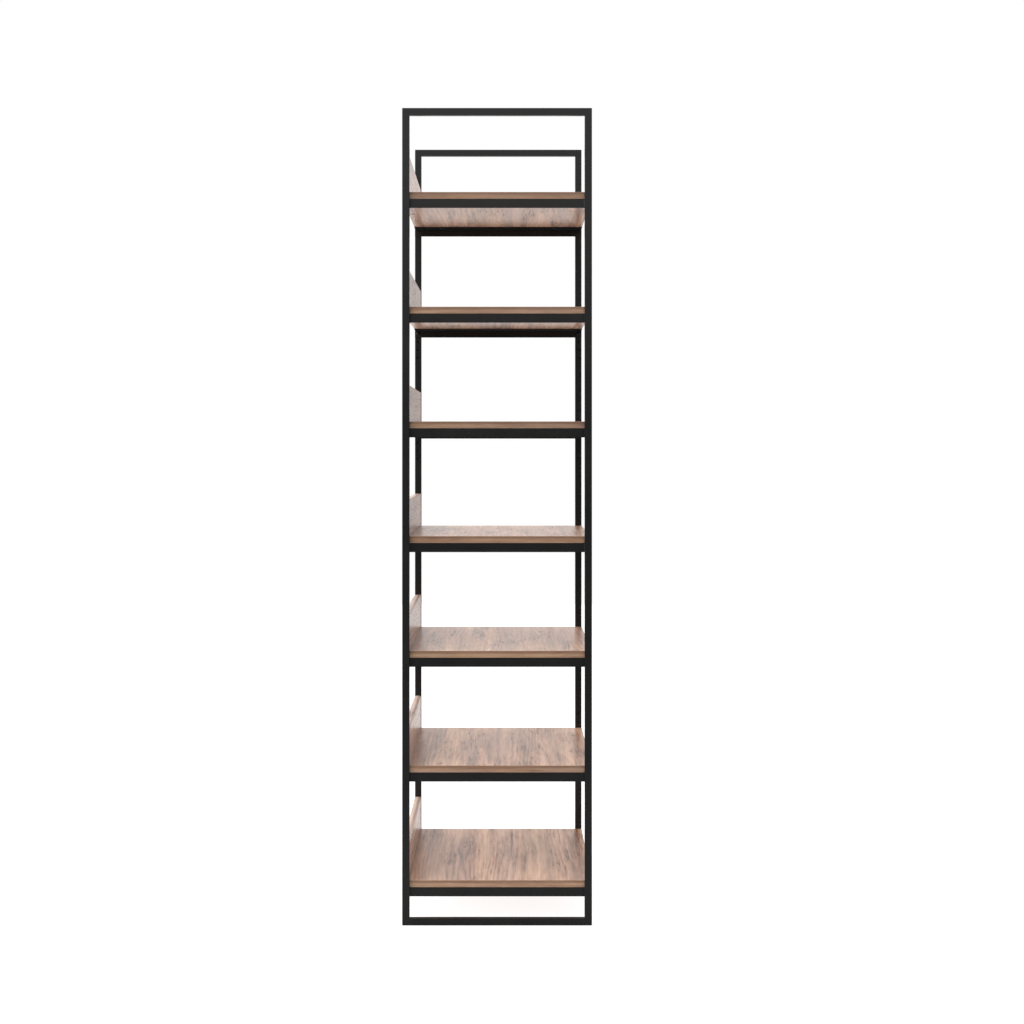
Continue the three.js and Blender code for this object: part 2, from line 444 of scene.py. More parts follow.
def powder_coat_material():
    """Satin black powder coat: orange peel, a little dust, and edges rubbed slightly bare."""
    material, tree, shader = new_material("powder_coat_black")
    place = tree.nodes.new("ShaderNodeTexCoord").outputs["Object"]
    peel = noise(tree, place, scale=750.0, detail=3.0, roughness=0.55)
    dust = noise(tree, place, scale=22.0, detail=5.0, roughness=0.65)
    specks = ease(tree, noise(tree, place, scale=1900.0, detail=1.0), 0.70, 0.78)
    rubbed = calc(
        tree, "MULTIPLY",
        attribute(tree, "edge_wear").outputs["Fac"],
        ease(tree, noise(tree, place, scale=60.0, detail=4.0), 0.42, 0.66),
    )
    clean, dusty = (0.0042, 0.0041, 0.0040), (0.0066, 0.0064, 0.0062)
    speck, bare = (0.018, 0.0175, 0.017), (0.030, 0.029, 0.028)
    colour = ramp(tree, dust, ((0.3, clean), (0.75, dusty)))
    colour = blend_colour(tree, calc(tree, "MULTIPLY", specks, 0.35), colour, speck)
    colour = blend_colour(tree, calc(tree, "MULTIPLY", rubbed, 0.5), colour, bare)
    tree.links.new(colour, shader.inputs["Base Color"])
    rough = calc(tree, "MULTIPLY_ADD", calc(tree, "SUBTRACT", dust, 0.5), 0.18, 0.33)
    rough = calc(tree, "MULTIPLY_ADD", rubbed, -0.10, rough)
    tree.links.new(rough, shader.inputs["Roughness"])
    shader.inputs["Specular IOR Level"].default_value = 0.36
    tree.links.new(bump(tree, peel, 0.03 * MM, 0.5), shader.inputs["Normal"])
    return material


def black_oxide_material():
    """Blackened steel of the bolts and screws, with fine turning marks and bright wear."""
    material, tree, shader = new_material("black_oxide_steel")
    place = tree.nodes.new("ShaderNodeTexCoord").outputs["Object"]
    marks = noise(tree, place, scale=2600.0, detail=2.0)
    wear = ease(tree, noise(tree, place, scale=420.0, detail=4.0, roughness=0.7), 0.5, 0.75)
    colour = ramp(tree, wear, ((0.0, (0.020, 0.020, 0.021)), (1.0, (0.085, 0.082, 0.078))))
    tree.links.new(colour, shader.inputs["Base Color"])
    shader.inputs["Metallic"].default_value = 0.85
    tree.links.new(calc(tree, "MULTIPLY_ADD", marks, 0.25, 0.28), shader.inputs["Roughness"])
    tree.links.new(bump(tree, marks, 0.02 * MM, 0.5), shader.inputs["Normal"])
    return material


def cap_plastic_material():
    """Moulded plastic in the boards' colour, finely grained."""
    material, tree, shader = new_material("cap_plastic")
    place = tree.nodes.new("ShaderNodeTexCoord").outputs["Object"]
    mottle = noise(tree, place, scale=160.0, detail=4.0)
    grain = noise(tree, place, scale=3200.0, detail=2.0)
    colour = ramp(tree, mottle, ((0.35, (0.40, 0.265, 0.195)), (0.65, (0.48, 0.330, 0.250))))
    tree.links.new(colour, shader.inputs["Base Color"])
    tree.links.new(calc(tree, "MULTIPLY_ADD", mottle, 0.20, 0.32), shader.inputs["Roughness"])
    tree.links.new(bump(tree, grain, 0.02 * MM, 0.4), shader.inputs["Normal"])
    return material


def floor_material():
    """Pale floor that glows, so that shadows on it stay faint. Its mirror image is kept dim
    in front of the object, for the satin steel to stay dark."""
    material, tree, shader = new_material("studio_floor")
    place = tree.nodes.new("ShaderNodeTexCoord").outputs["Object"]
    mottle = noise(tree, place, scale=2.0, detail=3.0)
    colour = ramp(tree, mottle, ((0.3, (0.34, 0.34, 0.34)), (0.7, (0.36, 0.36, 0.36))))
    tree.links.new(colour, shader.inputs["Base Color"])
    shader.inputs["Roughness"].default_value = 0.9
    shader.inputs["Emission Color"].default_value = (1.0, 1.0, 1.0, 1.0)
    split = tree.nodes.new("ShaderNodeSeparateXYZ")
    tree.links.new(tree.nodes.new("ShaderNodeNewGeometry").outputs["Position"], split.inputs[0])
    glossy = tree.nodes.new("ShaderNodeLightPath").outputs["Is Glossy Ray"]
    loss = ease(tree, split.outputs[1], 0.1, 0.5, GLOSSY_LOSS_IN_FRONT, GLOSSY_LOSS_BEHIND)
    glow = calc(tree, "ADD", calc(tree, "MULTIPLY", glossy, loss), FLOOR_GLOW)
    tree.links.new(glow, shader.inputs["Emission Strength"])
    return material


BOARD_WOOD = wood_material(
    "rustic_pine_board",
    dark=(0.110, 0.052, 0.033), middle=(0.412, 0.231, 0.152), light=(0.69, 0.442, 0.305),
    contrast=1.25, roughness=0.31,
)
PANEL_WOOD = wood_material(
    "rustic_pine_panel",
    dark=(0.135, 0.066, 0.046), middle=(0.485, 0.285, 0.203), light=(0.75, 0.495, 0.365),
    contrast=1.1, roughness=0.28,
)
# The panel's top banding is the banding's wood painted lighter and greyer, as painted light on its
# upward face, with painted shade along its inner side.
PAINTED_LIGHT_TOP_BAND_WOOD = wood_material(
    "rustic_pine_top_banding_painted_light",
    dark=(0.170, 0.100, 0.075), middle=(0.560, 0.420, 0.350), light=(0.78, 0.620, 0.530),
    roughness=0.38, painted_shade_top=0.60,
)
# Edge banding, with painted shade along the upper part of each strip.
BAND_WOOD = wood_material(
    "rustic_pine_banding",
    dark=(0.140, 0.066, 0.035), middle=(0.310, 0.178, 0.107), light=(0.50, 0.310, 0.200),
    contrast=0.8, painted_shade_top=0.55,
)
POWDER_COAT = powder_coat_material()
BLACK_OXIDE = black_oxide_material()
CAP_PLASTIC = cap_plastic_material()


# ---------------------------------------------------------------- mesh helpers

def new_mesh():
    """An empty bmesh with the layers that the materials read."""
    bm = bmesh.new()
    bm.verts.layers.float_vector.new("grain")
    bm.verts.layers.float.new("rise")
    bm.faces.layers.float.new("edge_wear")
    return bm


def place_piece(name, bm, body, material, replaces=None, sharp=35, flat=True):
    """Makes an object of a bmesh and rides it on a body. flat keeps the large faces flat
    beside their rounded edges."""
    bmesh.ops.recalc_face_normals(bm, faces=bm.faces)
    mesh = bpy.data.meshes.new(name)
    bm.to_mesh(mesh)
    bm.free()
    mesh.materials.append(material)
    mesh.shade_smooth()
    mesh.set_sharp_from_angle(angle=math.radians(sharp))
    piece = bpy.data.objects.new(name, mesh)
    bpy.context.scene.collection.objects.link(piece)
    if flat:
        weighted = piece.modifiers.new("flat faces", "WEIGHTED_NORMAL")
        weighted.mode = "FACE_AREA"
        weighted.weight = 100
        weighted.keep_sharp = True
    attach(piece, body)
    if replaces:
        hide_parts(replaces)


def solid_from_outline(bm, outline, to_point, start, end):
    """A prism. outline is in two coordinates, and to_point(u, v, w) gives the place."""
    rings = [[bm.verts.new(to_point(u, v, w)) for u, v in outline] for w in (start, end)]
    faces = [bm.faces.new(rings[0]), bm.faces.new(list(reversed(rings[1])))]
    count = len(outline)
    for i in range(count):
        j = (i + 1) % count
        faces.append(bm.faces.new((rings[0][j], rings[0][i], rings[1][i], rings[1][j])))
    bmesh.ops.recalc_face_normals(bm, faces=faces)
    return rings, faces


def round_edges(bm, edges, radius, segments=3):
    made = bmesh.ops.bevel(
        bm, geom=edges, offset=radius, offset_type="OFFSET", segments=segments,
        profile=0.5, affect="EDGES", clamp_overlap=True,
    )
    wear = bm.faces.layers.float["edge_wear"]
    for face in made["faces"]:
        face[wear] = 1.0


def edges_of(faces):
    return list({edge for face in faces for edge in face.edges})


def rounded_block(bm, low, high, radius, segments, grain, rise_axis=Z_AXIS):
    """A block with rounded edges. grain(place) gives its wood coordinates, and its rise goes
    from 0 to 1 along rise_axis."""
    first_vertex = len(bm.verts)
    outline = ((low.x, low.y), (high.x, low.y), (high.x, high.y), (low.x, high.y))
    _, faces = solid_from_outline(bm, outline, lambda u, v, w: (u, v, w), low.z, high.z)
    round_edges(bm, edges_of(faces), radius, segments)
    bm.verts.ensure_lookup_table()
    grain_layer = bm.verts.layers.float_vector["grain"]
    rise_layer = bm.verts.layers.float["rise"]
    bottom, top = low[rise_axis], high[rise_axis]
    for vertex in bm.verts[first_vertex:]:
        vertex[grain_layer] = grain(vertex.co)
        vertex[rise_layer] = (vertex.co[rise_axis] - bottom) / (top - bottom)


def loft(bm, rings, matrix=None):
    """A closed solid through rings of equal count. A ring of one point is a pole."""
    matrix = matrix or Matrix()
    made = [[bm.verts.new(matrix @ Vector(point)) for point in points] for points in rings]
    for lower, upper in zip(made, made[1:]):
        count = max(len(lower), len(upper))
        for i in range(count):
            j = (i + 1) % count
            corners = [lower[k % len(lower)] for k in (i, j)]
            corners += [upper[k % len(upper)] for k in (j, i)]
            bm.faces.new(list(dict.fromkeys(corners)))
    for end in (made[0], made[-1]):
        if len(end) > 2:
            bm.faces.new(end)


def ring(radius, height, angles):
    """Points of a ring about Z. radius is a number or a function of the angle."""
    def at(angle):
        return radius(angle) if callable(radius) else radius
    return [(at(a) * math.cos(a), at(a) * math.sin(a), height) for a in angles]


def full_circle(count):
    return [2 * math.pi * i / count for i in range(count)]


def cut(name, bm, cutter_bm):
    """Takes one bmesh out of another and returns the result as a new bmesh."""
    objects = []
    for part_name, part in ((name, bm), (name + "_cutter", cutter_bm)):
        bmesh.ops.recalc_face_normals(part, faces=part.faces)
        mesh = bpy.data.meshes.new(part_name)
        part.to_mesh(mesh)
        part.free()
        made = bpy.data.objects.new(part_name, mesh)
        bpy.context.scene.collection.objects.link(made)
        objects.append(made)
    body, cutter = objects
    boolean = body.modifiers.new("cut", "BOOLEAN")
    boolean.operation = "DIFFERENCE"
    boolean.solver = "EXACT"
    boolean.object = cutter
    depsgraph = bpy.context.evaluated_depsgraph_get()
    result = bmesh.new()
    result.from_mesh(body.evaluated_get(depsgraph).to_mesh())
    for made in objects:
        mesh = made.data
        bpy.data.objects.remove(made)
        bpy.data.meshes.remove(mesh)
    return result


# ---------------------------------------------------------------- steel

def bar_outline(low, high):
    """The four corners, in X and Z, of a frame bar with 45 degree mitres."""
    width, height = high.x - low.x, high.z - low.z
    if height > width:
        outer, inner = (low.x, high.x) if abs(low.x) > abs(high.x) else (high.x, low.x)
        return ((outer, low.z), (inner, low.z + width), (inner, high.z - width), (outer, high.z))
    outer, inner = (low.z, high.z) if low.z < cad_box[1][2] / 2 else (high.z, low.z)
    return ((low.x, outer), (high.x, outer), (high.x - height, inner), (low.x + height, inner))


def bolt_axis(name):
    """Middle of a CAD bolt in X and Z."""
    low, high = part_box(name)
    return (low.x + high.x) / 2, (low.z + high.z) / 2


def hole_heights():
    """Heights of the bolt holes in an upright: each adjustable shelf's bolts, and every
    whole step of the hole pitch within the range of its joint."""
    heights = []
    for number in ADJUSTABLE:
        middle = bolt_axis(f"shelf_{number}_front_left_bolt")[1]
        joint = next(j for j in frame["joints"] if j["child"] == f"shelf_{number}")
        lowest, highest = joint["range_m"]
        steps = round((highest - lowest) / HOLE_PITCH)
        heights += [middle + lowest + i * HOLE_PITCH for i in range(steps + 1)]
    return heights


def blind_hole(bm, x, y, z, inward):
    """A drilled hole along Y: a countersunk mouth at y, straight walls and a drill tip.
    inward is +1 or -1, the way into the steel."""
    angles = full_circle(ROUND_SIDES)
    past_face = 0.2 * MM
    profile = (
        (HOLE_MOUTH + past_face, -past_face),
        (HOLE_MOUTH, 0.0),
        (HOLE_RADIUS, HOLE_CHAMFER_DEPTH),
        (HOLE_RADIUS, HOLE_DEPTH),
    )
    rings = [ring(radius, depth, angles) for radius, depth in profile]
    rings.append([(0.0, 0.0, HOLE_DEPTH + HOLE_TIP)])
    turn = Matrix.Rotation(-inward * math.pi / 2, 4, "X")
    loft(bm, rings, Matrix.Translation((x, y, z)) @ turn)


def frame_bar(name):
    low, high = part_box(name)
    bm = new_mesh()
    _, faces = solid_from_outline(bm, bar_outline(low, high), lambda u, v, w: (u, w, v), low.y, high.y)
    round_edges(bm, edges_of(faces), BAR_ROUND)
    if name.endswith("_upright"):
        cutters = new_mesh()
        front = name.startswith("front")
        x = (low.x + high.x) / 2
        for z in hole_heights():
            blind_hole(cutters, x, high.y if front else low.y, z, -1 if front else 1)
        bm = cut(name, bm, cutters)
    place_piece(name + "_bar", bm, "frame", POWDER_COAT, name)


def section_turn(direction):
    """Turns Z to a direction, without spin between sections along a straight line."""
    across = Vector((1.0, 0.0, 0.0)) if abs(direction.x) < 0.8 else Vector((0.0, 1.0, 0.0))
    side = direction.cross(across).normalized()
    return Matrix((side, direction.cross(side), direction)).transposed().to_4x4()


def bead(bm, points, radius, closed=False, seed=0):
    """A weld bead along points: a tube that steps up at each ripple and thins to the next."""
    chance = random.Random(seed)
    angles = full_circle(BEAD_SIDES)
    rings = []
    count = len(points)
    for i, point in enumerate(points):
        before = points[i - 1] if closed or i else point
        after = points[(i + 1) % count] if closed or i < count - 1 else point
        direction = (after - before).normalized()
        turn = section_turn(direction)
        if i % RINGS_PER_RIPPLE == 0:
            crest = 1.0 + chance.uniform(-CREST_SPREAD, CREST_SPREAD)
        swell = crest - RIPPLE_DROP * (i % RINGS_PER_RIPPLE)
        if not closed:
            from_end = min(i, count - 1 - i)
            swell *= 1.0 - END_TAPER * math.exp(-TAPER_RATE * from_end)
        matrix = Matrix.Translation(point) @ turn
        rings.append([matrix @ Vector(p) for p in ring(radius * swell, 0.0, angles)])
    if not closed:
        loft(bm, rings)
        return
    made = [[bm.verts.new(point) for point in loop] for loop in rings]
    for i in range(count):
        lower, upper = made[i], made[(i + 1) % count]
        # The section may come back turned, so each ring is joined to its nearest points.
        shift = min(range(len(angles)), key=lambda s: (lower[0].co - upper[s].co).length)
        for k in range(len(angles)):
            j = (k + 1) % len(angles)
            above_j, above_k = (upper[(m + shift) % len(angles)] for m in (j, k))
            bm.faces.new((lower[k], lower[j], above_j, above_k))


def walk(corners, step, closed=False):
    """Evenly spaced points along straight lines between corners."""
    points = []
    ends = list(zip(corners, corners[1:] + corners[:1])) if closed else list(zip(corners, corners[1:]))
    for a, b in ends:
        count = max(2, round((b - a).length / step))
        points += [a.lerp(b, i / count) for i in range(count)]
    if not closed:
        points.append(corners[-1])
    return points


def mitre_weld(where, side, level):
    """The ground weld round one mitre of a frame, sunk just under the faces, in the groove
    between the bars' rounded edges."""
    low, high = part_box(f"{where}_{side}_upright")
    face = high.x - low.x
    sign = -1 if side == "left" else 1
    outer_x = max(abs(low.x), abs(high.x))
    up = 1 if level == "bottom" else -1
    edge_z = low.z if level == "bottom" else high.z
    corners = []
    for y in (low.y + SEAM_INSET, high.y - SEAM_INSET):
        outer = Vector((sign * (outer_x - SEAM_INSET), y, edge_z + up * SEAM_INSET))
        inner_x = sign * (outer_x - face + SEAM_INSET)
        inner = Vector((inner_x, y, edge_z + up * (face - SEAM_INSET)))
        corners.append((outer, inner))
    (front_out, front_in), (rear_out, rear_in) = corners
    path = walk([front_out, front_in, rear_in, rear_out], SEAM_STEP, closed=True)
    bm = new_mesh()
    bead(bm, path, SEAM_RADIUS, closed=True, seed=len(where) + len(side) * 7 + up)
    name = f"{where}_{level}_{side}_mitre_weld"
    place_piece(name, bm, "frame", POWDER_COAT, sharp=60, flat=False)


def arc(centre, radius, start, end, steps):
    """Points of an arc, with angles in degrees."""
    angles = [math.radians(start + (end - start) * i / steps) for i in range(steps + 1)]
    return [(centre[0] + radius * math.cos(a), centre[1] + radius * math.sin(a)) for a in angles]


def angle_outline(leg, wall):
    """Section of a rolled angle: heel at (0, 0), legs along +u and -v."""
    heel = arc((ANGLE_HEEL, -ANGLE_HEEL), ANGLE_HEEL, 180, 90, 3)
    flat_toe = [(leg, 0.0)] + arc((leg - ANGLE_TOE, -wall + ANGLE_TOE), ANGLE_TOE, 0, -90, 4)
    root = arc((wall + ANGLE_ROOT, -wall - ANGLE_ROOT), ANGLE_ROOT, 90, 180, 5)
    upright_toe = arc((wall - ANGLE_TOE, -leg + ANGLE_TOE), ANGLE_TOE, 0, -90, 4) + [(0.0, -leg)]
    return heel + flat_toe + root + upright_toe


def angle_wall(name):
    """Wall thickness of a CAD angle: the height of its level leg's edge."""
    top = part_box(name)[1].z
    heights = {round(v.co.z, 6) for v in frame["nodes"][name].data.vertices}
    return top - max(z for z in heights if z < top - 0.5 * MM)


def shelf_angle(number, where):
    name = f"shelf_{number}_{where}_angle"
    low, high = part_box(name)
    leg = high.z - low.z
    wall = angle_wall(name)
    inward = 1 if where == "front" else -1
    face_y = low.y if where == "front" else high.y
    bm = new_mesh()
    rings, faces = solid_from_outline(
        bm, angle_outline(leg, wall),
        lambda u, v, w: (w, face_y + inward * u, high.z + v), low.x, high.x,
    )
    ends = [face for face in faces if len(face.verts) == len(rings[0])]
    round_edges(bm, edges_of(ends), ANGLE_END_ROUND, 2)
    if number in ADJUSTABLE:
        cutters = new_mesh()
        for side in SIDES:
            x, z = bolt_axis(f"shelf_{number}_{where}_{side}_bolt")
            circle = full_circle(ROUND_SIDES)
            turn = Matrix.Rotation(-inward * math.pi / 2, 4, "X")
            hole = [ring(ANGLE_HOLE_RADIUS, depth, circle) for depth in (-wall, 2 * wall)]
            loft(cutters, hole, Matrix.Translation((x, face_y, z)) @ turn)
        bm = cut(name, bm, cutters)
    place_piece(name + "_steel", bm, body_of(number), POWDER_COAT, name)


def shelf_welds(number):
    """Beads between a fixed shelf's angles and the uprights: one up the inner corner and
    one under the angle."""
    bm = new_mesh()
    for where in ENDS:
        angle_low, angle_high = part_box(f"shelf_{number}_{where}_angle")
        for side in SIDES:
            low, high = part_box(f"{where}_{side}_upright")
            sign = -1 if side == "left" else 1
            inner_x = sign * min(abs(low.x), abs(high.x))
            outer_x = sign * max(abs(low.x), abs(high.x))
            joint_y = high.y if where == "front" else low.y
            seed = number * 8 + len(where) * 3 + sign
            corner = [
                Vector((inner_x, joint_y, angle_low.z + FILLET_FOOT_GAP)),
                Vector((inner_x, joint_y, angle_high.z - FILLET_END_GAP)),
            ]
            bead(bm, walk(corner, FILLET_STEP), FILLET_RADIUS, seed=seed)
            under = [
                Vector((inner_x + sign * FILLET_END_GAP, joint_y, angle_low.z)),
                Vector((outer_x - sign * FILLET_END_GAP, joint_y, angle_low.z)),
            ]
            bead(bm, walk(under, FILLET_STEP), UNDER_FILLET_RADIUS, seed=seed + 50)
    name = f"shelf_{number}_welds"
    place_piece(name, bm, "frame", POWDER_COAT, sharp=60, flat=False)


# ---------------------------------------------------------------- fasteners

def hexagon(across_flats):
    def radius(angle):
        turned = (angle + math.pi / 6) % (math.pi / 3) - math.pi / 6
        return across_flats / 2 / math.cos(turned)
    return radius


def button_bolt(number, where, side):
    """M5 button-head bolt with a hexagon socket, its shank running out to the upright."""
    name = f"shelf_{number}_{where}_{side}_bolt"
    low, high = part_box(name)
    x, z = bolt_axis(name)
    outward = -1 if where == "front" else 1
    tip_y, top_y = (low.y, high.y) if where == "front" else (high.y, low.y)
    seat = abs(top_y - tip_y) - BOLT_HEAD_HEIGHT
    top = seat + BOLT_HEAD_HEIGHT
    circle = full_circle(ROUND_SIDES)
    rings = [[(0.0, 0.0, 0.0)], ring(BOLT_TIP_RADIUS, 0.0, circle)]
    turns = int((seat - BOLT_PLAIN_LENGTH) / BOLT_PITCH)
    for i in range(turns):
        rings.append(ring(BOLT_ROOT_RADIUS, BOLT_LEAD + i * BOLT_PITCH, circle))
        rings.append(ring(BOLT_RADIUS, BOLT_LEAD + (i + 0.5) * BOLT_PITCH, circle))
    rings.append(ring(BOLT_RADIUS, seat, circle))
    rings.append(ring(BOLT_HEAD_RADIUS - BOLT_HEAD_CHAMFER, seat, circle))
    for part, height in BOLT_HEAD_PROFILE:
        rings.append(ring(BOLT_HEAD_RADIUS * part, seat + height, circle))
    rings += [
        ring(hexagon(HEX_ACROSS_FLATS + HEX_MOUTH), top, circle),
        ring(hexagon(HEX_ACROSS_FLATS), top - HEX_CHAMFER, circle),
        ring(hexagon(HEX_ACROSS_FLATS), seat + HEX_FLOOR, circle),
        [(0.0, 0.0, seat + HEX_TIP)],
    ]
    bm = new_mesh()
    turn = Matrix.Rotation(outward * math.pi / 2, 4, "X")
    spin = Matrix.Rotation(random.Random(name).uniform(0, math.pi / 3), 4, "Z")
    loft(bm, rings, Matrix.Translation((x, tip_y, z)) @ turn @ spin)
    place_piece(
        name + "_m5", bm, body_of(number), BLACK_OXIDE, name, sharp=40, flat=False
    )


def cross_radius(arm_length, arm_half_width):
    """Outline of a cross recess as a radius at each angle."""
    def radius(angle):
        turned = (angle + math.pi / 4) % (math.pi / 2) - math.pi / 4
        if abs(math.tan(turned)) <= arm_half_width / arm_length + 1e-9:
            return arm_length / math.cos(turned)
        return arm_half_width / abs(math.sin(turned))
    return radius


def cross_screw(bm, matrix):
    """A pan-head wood screw's head and neck. The head hangs down from z = 0."""
    corner = math.degrees(math.atan(CROSS_HALF_WIDTH / CROSS_ARM))
    quarter_angles = (-corner, 0, corner, 28, 45, 62)
    angles = [math.radians(90 * quarter + a) for quarter in range(4) for a in quarter_angles]
    mouth = cross_radius(CROSS_ARM, CROSS_HALF_WIDTH)
    bottom = cross_radius(CROSS_ARM * 0.8, CROSS_HALF_WIDTH * 0.7)
    recess_z = -SCREW_HEAD_HEIGHT + CROSS_DEPTH
    rings = [
        [(0.0, 0.0, SCREW_NECK_LENGTH)],
        ring(SCREW_NECK_RADIUS, SCREW_NECK_LENGTH, angles),
        ring(SCREW_NECK_RADIUS, 0.0, angles),
    ]
    rings += [ring(SCREW_HEAD_RADIUS * part, z, angles) for part, z in SCREW_HEAD_PROFILE]
    rings.append(ring(mouth, -SCREW_HEAD_HEIGHT, angles))
    rings.append(ring(bottom, recess_z, angles))
    rings.append([(0.0, 0.0, recess_z)])
    loft(bm, rings, matrix)


def board_screws(number):
    """Pan-head screws up through the level legs of both angles into the board."""
    bm = new_mesh()
    chance = random.Random(number)
    for where in ENDS:
        name = f"shelf_{number}_{where}_angle"
        low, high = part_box(name)
        y = low.y + BOARD_SCREW_INSET if where == "front" else high.y - BOARD_SCREW_INSET
        under = high.z - angle_wall(name)
        for x in BOARD_SCREW_X:
            spin = Matrix.Rotation(chance.uniform(0, math.pi), 4, "Z")
            cross_screw(bm, Matrix.Translation((x, y, under)) @ spin)
    place_piece(
        f"shelf_{number}_board_screws", bm, body_of(number), BLACK_OXIDE,
        sharp=40, flat=False,
    )


def panel_screw_caps(number):
    """Low domed plastic caps under the board, over the screws that hold the side panel."""
    bm = new_mesh()
    board_low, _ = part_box(f"shelf_{number}_board")
    low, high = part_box(f"shelf_{number}_side_panel")
    circle = full_circle(CAP_SIDES)
    rings = [ring(CAP_RADIUS - 0.1 * MM, 0.0, circle)]
    rings += [ring(CAP_RADIUS * part, z, circle) for part, z in CAP_PROFILE]
    rings.append([(0.0, 0.0, -CAP_HEIGHT)])
    for y in PANEL_SCREW_Y:
        loft(bm, rings, Matrix.Translation(((low.x + high.x) / 2, y, board_low.z)))
    place_piece(
        f"shelf_{number}_panel_screw_caps", bm, body_of(number), CAP_PLASTIC,
        sharp=50, flat=False,
    )


# ---------------------------------------------------------------- wood

def sheet_offset(number, kind):
    """Where in the printed pattern a piece was cut, so that no two pieces are alike."""
    chance = random.Random(f"{kind} {number}")
    return Vector((chance.uniform(0, 4), chance.uniform(0, 4), chance.uniform(0, 9)))


def banding_strip(bm, low, high, offset, across, along, rise_axis=Z_AXIS):
    """One strip of edge banding. across and along are the axes that its wood coordinates
    are read on."""
    def grain(place):
        return Vector((place[across], place[along], 0.0)) + offset
    rounded_block(bm, Vector(low), Vector(high), BAND_ROUND, 3, grain, rise_axis)


def board(number):
    name = f"shelf_{number}_board"
    low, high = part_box(name)
    offset = sheet_offset(number, "board")
    inset = Vector((BAND + GLUE_LINE, BAND + GLUE_LINE, 0.0))
    core = new_mesh()
    rounded_block(
        core, low + inset, high - inset, CORE_ROUND, 2,
        lambda place: Vector((place.x, place.y, (place.z - low.z) * SHEETS_PER_METRE)) + offset,
    )
    place_piece(name + "_core", core, body_of(number), BOARD_WOOD, name)

    bands = new_mesh()
    for i, (start, end) in enumerate(((low.y, low.y + BAND), (high.y - BAND, high.y))):
        sheet = sheet_offset(number, f"long band {i}")
        banding_strip(
            bands, (low.x, start, low.z), (high.x, end, high.z), sheet, Z_AXIS, X_AXIS
        )
    for i, (start, end) in enumerate(((low.x, low.x + BAND), (high.x - BAND, high.x))):
        sheet = sheet_offset(number, f"short band {i}")
        banding_strip(
            bands,
            (start, low.y + BAND + GLUE_LINE, low.z),
            (end, high.y - BAND - GLUE_LINE, high.z), sheet, Z_AXIS, Y_AXIS,
        )
    place_piece(name + "_banding", bands, body_of(number), BAND_WOOD)


def side_panel(number):
    name = f"shelf_{number}_side_panel"
    low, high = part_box(name)
    offset = sheet_offset(number, "panel")
    core = new_mesh()
    rounded_block(
        core,
        Vector((low.x, low.y + BAND + GLUE_LINE, low.z)),
        Vector((high.x, high.y - BAND - GLUE_LINE, high.z - BAND - GLUE_LINE)),
        CORE_ROUND, 2,
        lambda place: Vector((place.z, place.y, (place.x - low.x) * SHEETS_PER_METRE)) + offset,
    )
    place_piece(name + "_core", core, body_of(number), PANEL_WOOD, name)

    # The top banding carries painted light on its upward face.
    top_band = new_mesh()
    banding_strip(
        top_band, (low.x, low.y, high.z - BAND), high,
        sheet_offset(number, "top band"), X_AXIS, Y_AXIS, rise_axis=X_AXIS,
    )
    place_piece(name + "_top_banding", top_band, body_of(number), PAINTED_LIGHT_TOP_BAND_WOOD)

    bands = new_mesh()
    for start, end in ((low.y, low.y + BAND), (high.y - BAND, high.y)):
        banding_strip(
            bands, (low.x, start, low.z), (high.x, end, high.z - BAND - GLUE_LINE),
            sheet_offset(number, "end band"), X_AXIS, Y_AXIS,
        )
    place_piece(name + "_end_banding", bands, body_of(number), BAND_WOOD)


# ---------------------------------------------------------------- studio

def studio_floor():
    bm = bmesh.new()
    circle = full_circle(FLOOR_SIDES)
    loft(bm, [ring(FLOOR_RADIUS, z, circle) for z in (-FLOOR_THICKNESS, 0.0)])
    bmesh.ops.recalc_face_normals(bm, faces=bm.faces)
    mesh = bpy.data.meshes.new("studio_floor")
    bm.to_mesh(mesh)
    bm.free()
    mesh.materials.append(floor_material())
    floor = bpy.data.objects.new("studio_floor", mesh)
    floor.location.y = FLOOR_BEHIND
    bpy.context.scene.collection.objects.link(floor)


def soft_box(name, place, target, size, power):
    light = bpy.data.lights.new(name, "AREA")
    light.shape = "RECTANGLE"
    light.size, light.size_y = size
    light.energy = power
    lamp = bpy.data.objects.new(name, light)
    bpy.context.scene.collection.objects.link(lamp)
    lamp.location = place
    lamp.rotation_euler = (Vector(target) - Vector(place)).to_track_quat("-Z", "Y").to_euler()


